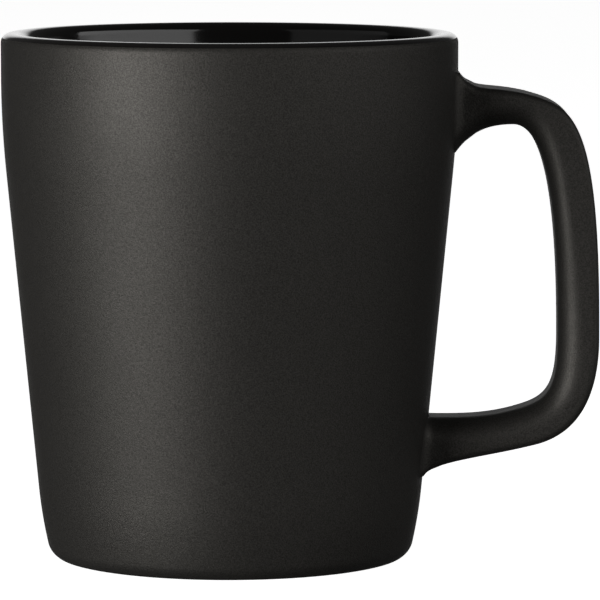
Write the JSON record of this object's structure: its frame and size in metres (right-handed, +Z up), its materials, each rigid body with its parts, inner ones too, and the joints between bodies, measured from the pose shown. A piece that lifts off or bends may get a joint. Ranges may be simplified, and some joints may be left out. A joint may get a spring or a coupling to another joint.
{
  "type": "ceramic mug",
  "caption": "Tapered stoneware mug with an upright rounded lip, a gloss inside, a matte black outside, a bare foot ring and a strap handle luted to the side.",
  "frame": {"origin": "on the surface the mug stands on, under the middle of the overall box of cup and handle; the cup's axis is 14.5 mm to the -X side of it", "axes": "+Z up along the cup's axis, +X towards the handle, so the length over cup and handle runs along X and the cup's diameter along Y"},
  "size_m": [0.1228, 0.0938, 0.108],
  "materials": {
    "bare_clay": "dry fired stoneware, bare on the foot ring and hidden elsewhere",
    "gloss_glaze": "clear deep gloss black",
    "matte_glaze": "matte black with a fine grain and a soft broad highlight"
  },
  "bodies": {
    "root": {"cup_body": "bare_clay", "handle": "bare_clay", "upper_slip_joint": "bare_clay", "lower_slip_joint": "bare_clay", "liner_glaze": "gloss_glaze", "body_glaze": "matte_glaze", "handle_glaze": "matte_glaze", "base_glaze": "matte_glaze"}
  },
  "joints": []
}
